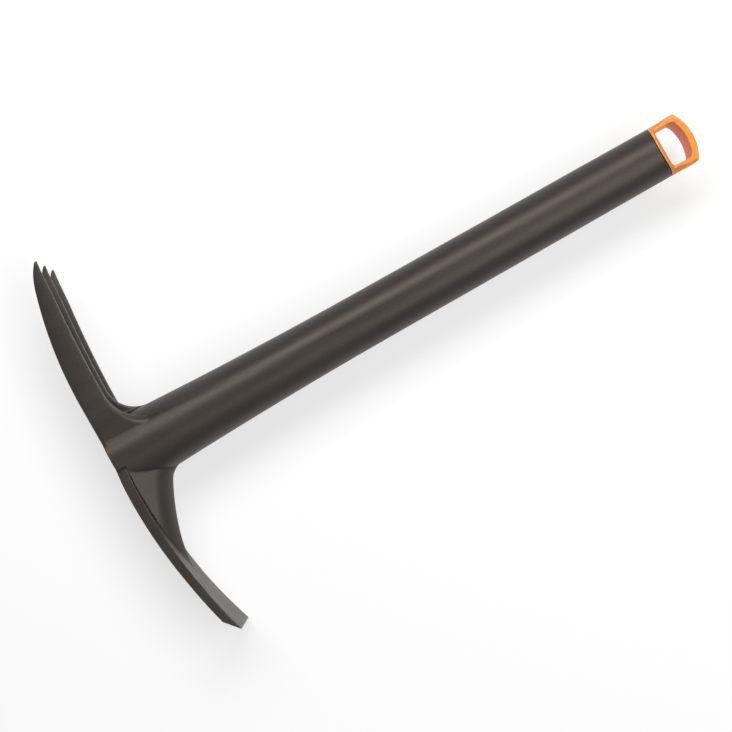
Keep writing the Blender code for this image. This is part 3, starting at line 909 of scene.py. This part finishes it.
# The hollow colours below are painted shade: the creases are drawn darker where shade falls.
moulded_grey = plastic(
    "moulded_grey", colour=(42, 37, 34), streak=(47, 42, 39), rubbed=(78, 72, 65), hollow=(14, 12, 11),
    streak_size=0.014, speckle=0.02, roughness=0.41, grain_size=0.0007, grain_depth=0.000032,
    sockets={"IOR": 1.58, "Specular Tint": (1.0, 0.88, 0.76, 1.0), "Specular IOR Level": 0.36})
moulded_orange = plastic(
    "moulded_orange", colour=(240, 143, 42), streak=(244, 149, 48), rubbed=(247, 178, 96),
    hollow=(206, 98, 30), streak_size=0.009, speckle=0.0, roughness=0.42, grain_size=0.0009,
    grain_depth=0.000012,
    sockets={"IOR": 1.58, "Specular IOR Level": 0.3, "Subsurface Weight": 0.12, "Subsurface Scale": 0.5,
             "Subsurface Radius": (0.004, 0.0015, 0.0006)})

# %% [markdown]
# ## The finished pieces
#
# Each shape now gets its skin and its plastic. The CAD solids stay in the model for collisions, but they
# aren't shown, because these pieces stand for them. Nothing in the tool moves, so both ride on the one
# body.

# %% The two finished pieces
body = skinned(body_shape, "moulded_body", moulded_grey, depth=0.00022, wavelength=0.045, seed=3.0)
end_cap = skinned(cap_shape, "hanging_cap", moulded_orange, depth=0.00006, wavelength=0.02, seed=8.0)
for piece, node, slot in ((body, "hoe_body", "moulded_grey"), (end_cap, "end_cap", "moulded_orange")):
    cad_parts[node].data.materials.clear()
    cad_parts[node].data.materials.append(piece.data.materials[0])
    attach(piece, "root")
    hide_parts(node)
    print(piece.name, "stands for", node)

# %% [markdown]
# ## Floor
#
# The photograph shows the tool on plain white, so the floor is pale paper that glows a little where it is
# looked at. Its lit parts then reach white, while the tool's soft shadow stays. The same white is seen in
# reflections and through clear materials, so the plastic mirrors the background that the picture shows.
# Only the light that the paper scatters onto the tool leaves the glow out. More light on everything would
# also whiten the floor, but it would bleach the tool.

# %% The floor
FLOOR_HALF = 4
PAPER = (0.8, 0.8, 0.8, 1)
PAPER_LOOKED_AT = (0.44, 0.44, 0.44, 1)
PAPER_GLOW = 0.62


def looked_at(tree):
    """1 for rays from the camera, in reflections and through clear materials, and 0 for scattered light."""
    seen = wire(tree, "ShaderNodeLightPath").outputs
    clear = reckon(tree, "MAXIMUM", seen["Is Glossy Ray"], seen["Is Transmission Ray"])
    return reckon(tree, "MAXIMUM", clear, seen["Is Camera Ray"])


floor_material = bpy.data.materials.new("pale_floor")
floor_material.use_nodes = True
tree = floor_material.node_tree
seen = looked_at(tree)
paper = tree.nodes["Principled BSDF"].inputs
paper["Roughness"].default_value = 1.0
paper["Specular IOR Level"].default_value = 0.0
paper["Emission Color"].default_value = (1, 1, 1, 1)
tree.links.new(mixed(tree, seen, PAPER, PAPER_LOOKED_AT), paper["Base Color"])
tree.links.new(reckon(tree, "MULTIPLY", seen, PAPER_GLOW), paper["Emission Strength"])
floor_mesh = bpy.data.meshes.new("floor")
corners = [(FLOOR_HALF * x, FLOOR_HALF * y, 0) for x, y in ((-1, -1), (1, -1), (1, 1), (-1, 1))]
floor_mesh.from_pydata(corners, [], [(0, 1, 2, 3)])
floor_mesh.materials.append(floor_material)
floor = bpy.data.objects.new("floor", floor_mesh)
bpy.context.scene.collection.objects.link(floor)
print("the floor is", 2 * FLOOR_HALF, "m square, of", floor_material.name)

# %% [markdown]
# ## Light
#
# Dark plastic is drawn by what it mirrors, so the lamps are large and soft. A wide key lamp on the fork's
# side draws the long highlight on the grip, and a second one on the blade's side fills in. The world adds a
# little light from all round, and past the floor's edge it shows as a pale grey backdrop.

# %% Lamps and surroundings
TOOL_MIDDLE = (0, 0, 0.026)
WORLD_LIGHT = 0.05
BACKDROP_EXTRA = 0.5


def lamp(name, place, width, depth, power):
    """A rectangular area lamp that looks at the tool's middle."""
    data = bpy.data.lights.new(name, "AREA")
    data.shape = "RECTANGLE"
    data.size = width
    data.size_y = depth
    data.energy = power
    made = bpy.data.objects.new(name, data)
    made.location = place
    toward = Vector(TOOL_MIDDLE) - Vector(place)
    made.rotation_euler = toward.to_track_quat("-Z", "Y").to_euler()
    bpy.context.scene.collection.objects.link(made)
    print("lamp", name, "gives", power, "W from", round(toward.length, 2), "m")


lamp("key", (0.16, 0.79, 1.08), width=1.5, depth=0.56, power=14.5)
lamp("second", (0.5, -0.45, 1.12), width=1.3, depth=0.7, power=8.4)
world = bpy.data.worlds.new("pale_room")
bpy.context.scene.world = world
world.use_nodes = True
tree = world.node_tree
surround = tree.nodes["Background"].inputs
surround["Color"].default_value = (1, 1, 1, 1)
brightness = reckon(tree, "MULTIPLY_ADD", looked_at(tree), BACKDROP_EXTRA, WORLD_LIGHT)
tree.links.new(brightness, surround["Strength"])

# %% [markdown]
# ## Camera
#
# The camera looks almost straight down from 0.88 m. Its place comes from the photograph: the near and far
# corners of the cutting edge and of the eye are shifted against each other, and that shift points to the
# spot on the tool that lies right under the lens. The aim, the roll and the lens then bring the outlines
# together. Three directions at right angles make its matrix, because a camera that looks nearly straight
# down would lose its roll with a tracking constraint.

# %% The camera
CAMERA_AT = (138.6, -54.0, 880.0)
AIMED_AT = (156.55, -24.45, 0.0)
ROLL = math.radians(29.586)
LENS = 72.82
SENSOR = 36.0
eye_point = (Vector(CAMERA_AT) + Vector(OFFSET)) / 1000
aim_point = (Vector(AIMED_AT) + Vector(OFFSET)) / 1000
forward = (aim_point - eye_point).normalized()
right = Vector((math.cos(ROLL), -math.sin(ROLL), 0))
right = (right - forward * right.dot(forward)).normalized()
up = right.cross(forward)
camera_data = bpy.data.cameras.new("camera")
camera_data.lens = LENS
camera_data.sensor_width = SENSOR
camera = bpy.data.objects.new("camera", camera_data)
turn_to = Matrix((right, up, -forward)).transposed().to_4x4()
camera.matrix_world = Matrix.Translation(eye_point) @ turn_to
bpy.context.scene.collection.objects.link(camera)
bpy.context.scene.camera = camera
bpy.context.scene.view_settings.view_transform = "Standard"
print("camera at", [round(v, 3) for v in eye_point], "lens", round(camera_data.lens, 2))

# %% [markdown]
# ## The last step
#
# The view layer is brought up to date once more.

# %% Finish
bpy.context.view_layer.update()
